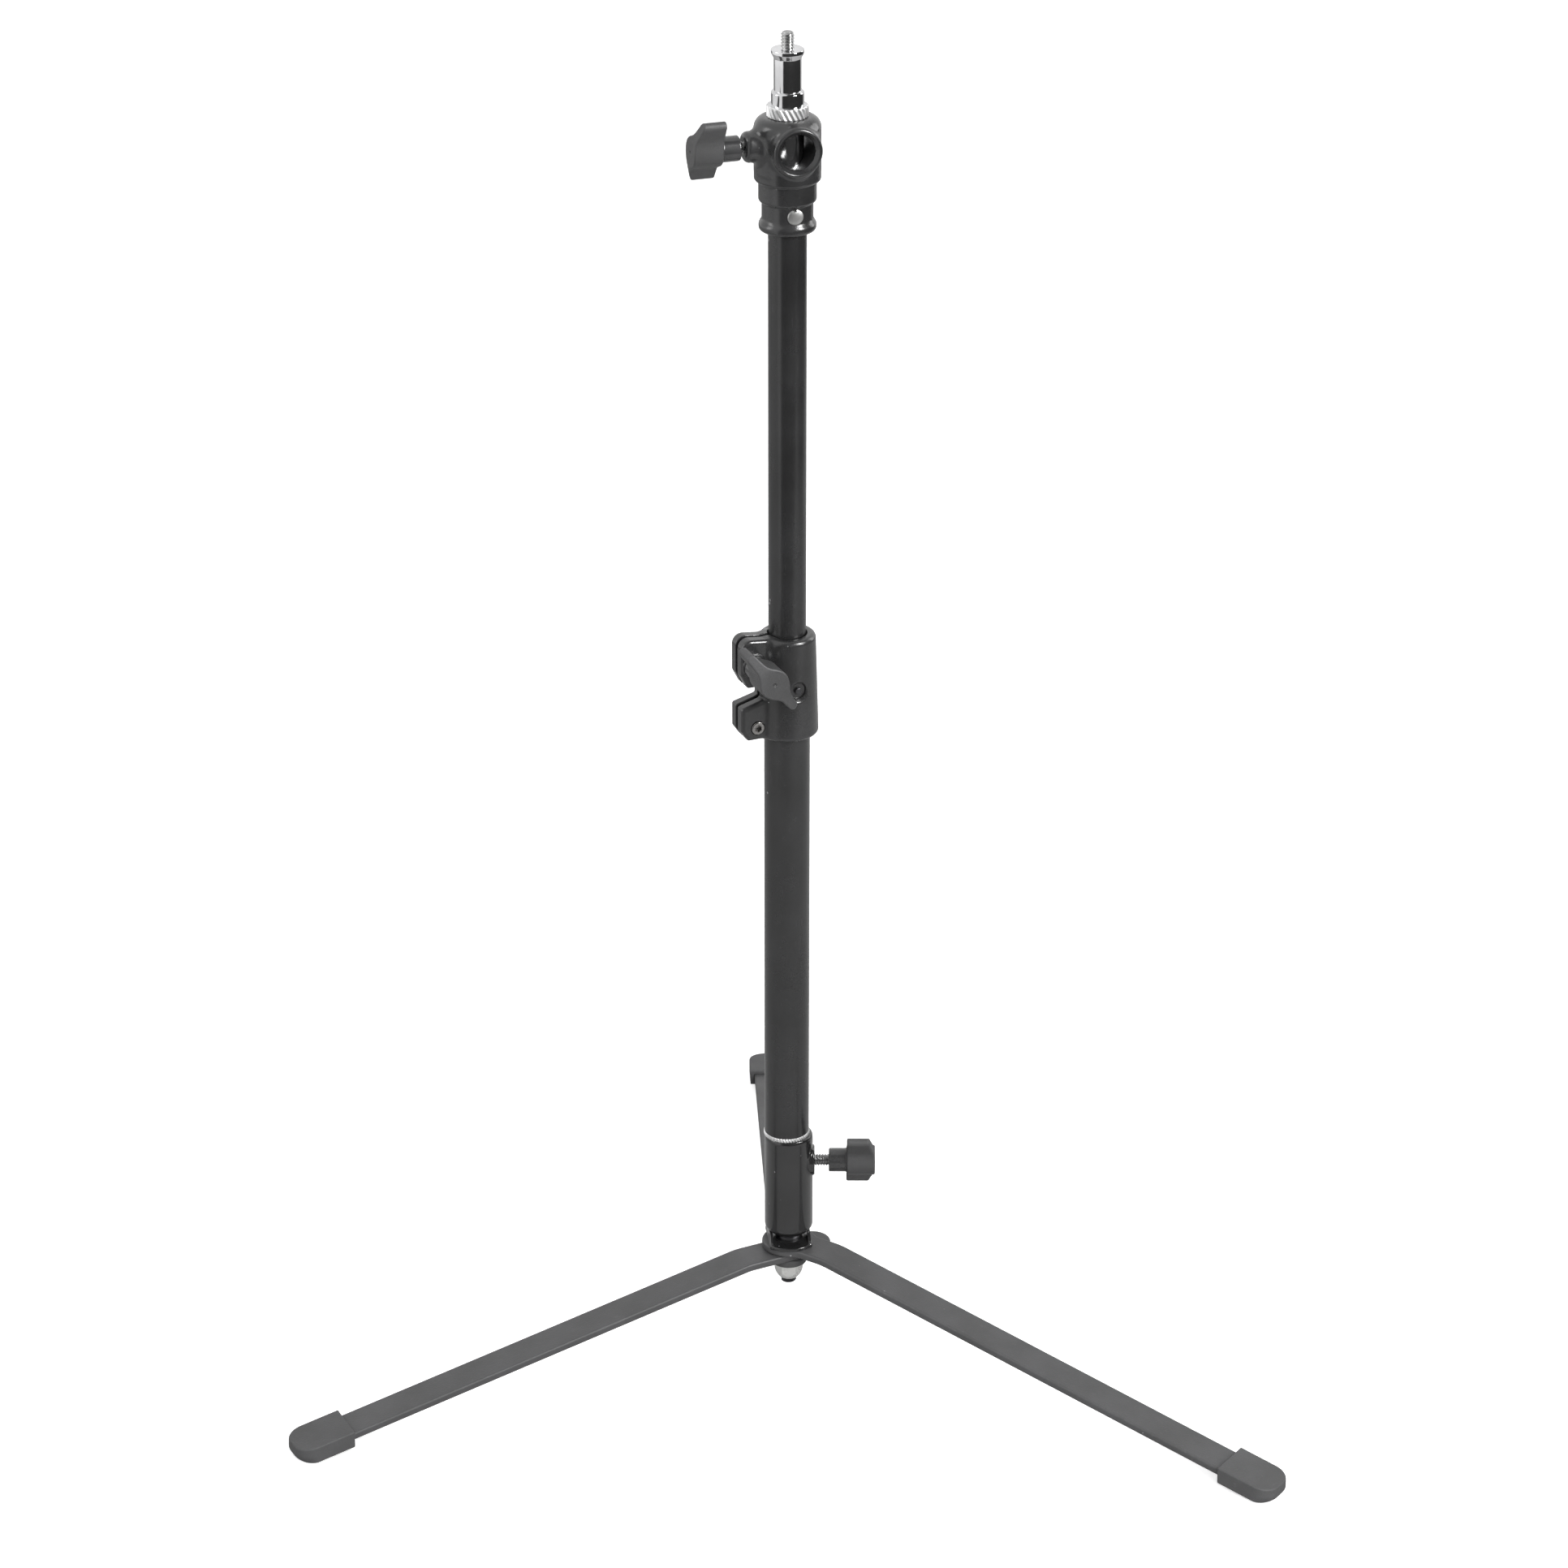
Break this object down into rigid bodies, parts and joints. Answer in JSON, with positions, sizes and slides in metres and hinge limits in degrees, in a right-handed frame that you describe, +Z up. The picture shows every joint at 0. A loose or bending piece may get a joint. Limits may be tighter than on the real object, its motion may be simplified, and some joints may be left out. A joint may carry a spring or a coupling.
{
  "type": "low lighting stand",
  "caption": "Low floor stand for a small light: flat folding legs, a socket, a two-section tube with a hand clamp, and a head that holds a 16 mm stud.",
  "frame": {"origin": "on the floor, on the pole's axis", "axes": "+Z up along the pole, -Y towards the front, where the clamp's knob points, +X to the right, where the socket's knob points"},
  "size_m": [0.5052, 0.4706, 0.7105],
  "materials": {
    "leg_paint": "matt black stove enamel, worn bright along the edges",
    "foot_rubber": "matt moulded rubber",
    "socket_enamel": "gloss black",
    "tube_black": "semi-gloss black",
    "cast_black": "semi-gloss black on a fine cast surface",
    "knob_plastic": "fine-textured black nylon",
    "chrome": "polished",
    "zinc_steel": "bright zinc",
    "brass": "turned",
    "bush_plastic": "plain black acetal",
    "dark_steel": "blackened steel"
  },
  "bodies": {
    "base": {"hub_bracket": "socket_enamel", "base_socket": "socket_enamel", "socket_boss": "socket_enamel", "hub_bolt": "dark_steel", "hub_lock_nut": "zinc_steel", "lock_nut_insert": "bush_plastic", "hub_washer": "zinc_steel", "leg_washers": "bush_plastic"},
    "left_leg": {"leg_left": "leg_paint", "foot_left": "foot_rubber"},
    "right_leg": {"leg_right": "leg_paint", "foot_right": "foot_rubber"},
    "back_leg": {"leg_back": "leg_paint", "foot_back": "foot_rubber"},
    "socket_pad": {"base_screw_pad": "brass"},
    "socket_knob": {"base_knob": "knob_plastic", "base_knob_screw": "zinc_steel"},
    "pole": {"pole_foot": "chrome", "tube_plug": "zinc_steel", "lower_tube": "tube_black", "guide_bush": "bush_plastic", "clamp_collar": "cast_black", "bush_pin": "zinc_steel", "clamp_stud": "zinc_steel", "collar_screw": "chrome", "collar_nut": "zinc_steel"},
    "knob_washer": {"clamp_washer": "dark_steel"},
    "height_knob": {"clamp_knob": "knob_plastic", "clamp_knob_insert": "zinc_steel"},
    "glide": {"glide_bush": "bush_plastic"},
    "upper": {"upper_tube": "tube_black", "head_casting": "cast_black", "head_rivet": "chrome"},
    "stud_pad": {"head_screw_pad": "brass"},
    "stud_knob": {"head_knob": "knob_plastic", "head_knob_screw": "zinc_steel"},
    "stud": {"spigot": "chrome"}
  },
  "joints": [
    {"name": "left_leg_fold", "type": "hinge", "parent": "base", "child": "left_leg", "pos_m": [0.0011, 0, 0.049], "axis": [0, 0, 1], "range_deg": [-87, 20]},
    {"name": "right_leg_fold", "type": "hinge", "parent": "base", "child": "right_leg", "pos_m": [0.0011, 0, 0.049], "axis": [0, 0, 1], "range_deg": [-20, 99]},
    {"name": "back_leg_fold", "type": "hinge", "parent": "base", "child": "back_leg", "pos_m": [0.0011, 0, 0.049], "axis": [0, 0, 1], "range_deg": [-8, 8]},
    {"name": "pole_turn", "type": "hinge", "parent": "base", "child": "pole", "pos_m": [0, 0, 0.09], "axis": [0, 0, 1], "continuous": true},
    {"name": "height", "type": "slide", "parent": "pole", "child": "glide", "axis": [0, 0, 1], "range_m": [-0.2, 0.003]},
    {"name": "upper_turn", "type": "hinge", "parent": "glide", "child": "upper", "pos_m": [0, 0, 0.4], "axis": [0, 0, 1], "continuous": true},
    {"name": "stud_lift", "type": "slide", "parent": "upper", "child": "stud", "axis": [0, 0, 1], "range_m": [0, 0.025]},
    {"name": "socket_screw_travel", "type": "slide", "parent": "base", "child": "socket_pad", "axis": [1, 0, 0], "range_m": [0, 0.002]},
    {"name": "socket_knob_turn", "type": "hinge", "parent": "socket_pad", "child": "socket_knob", "pos_m": [0, 0, 0.1018], "axis": [1, 0, 0], "range_deg": [0, 722]},
    {"name": "height_screw_travel", "type": "slide", "parent": "pole", "child": "knob_washer", "axis": [0.4067, -0.9135, 0], "range_m": [0, 0.002]},
    {"name": "height_knob_turn", "type": "hinge", "parent": "knob_washer", "child": "height_knob", "pos_m": [-0.01882, -0.00838, 0.389], "axis": [0.4067, -0.9135, 0], "range_deg": [0, 722]},
    {"name": "stud_screw_travel", "type": "slide", "parent": "upper", "child": "stud_pad", "axis": [-0.9511, -0.309, 0], "range_m": [0, 0.002]},
    {"name": "stud_knob_turn", "type": "hinge", "parent": "stud_pad", "child": "stud_knob", "pos_m": [0, 0, 0.6555], "axis": [-0.9511, -0.309, 0], "range_deg": [0, 722]}
  ],
  "couplings": [
    {"joint": "socket_knob_turn", "follows": "socket_screw_travel", "rad_per_m": 6283.2},
    {"joint": "height_knob_turn", "follows": "height_screw_travel", "rad_per_m": 6283.2},
    {"joint": "stud_knob_turn", "follows": "stud_screw_travel", "rad_per_m": 6283.2}
  ]
}
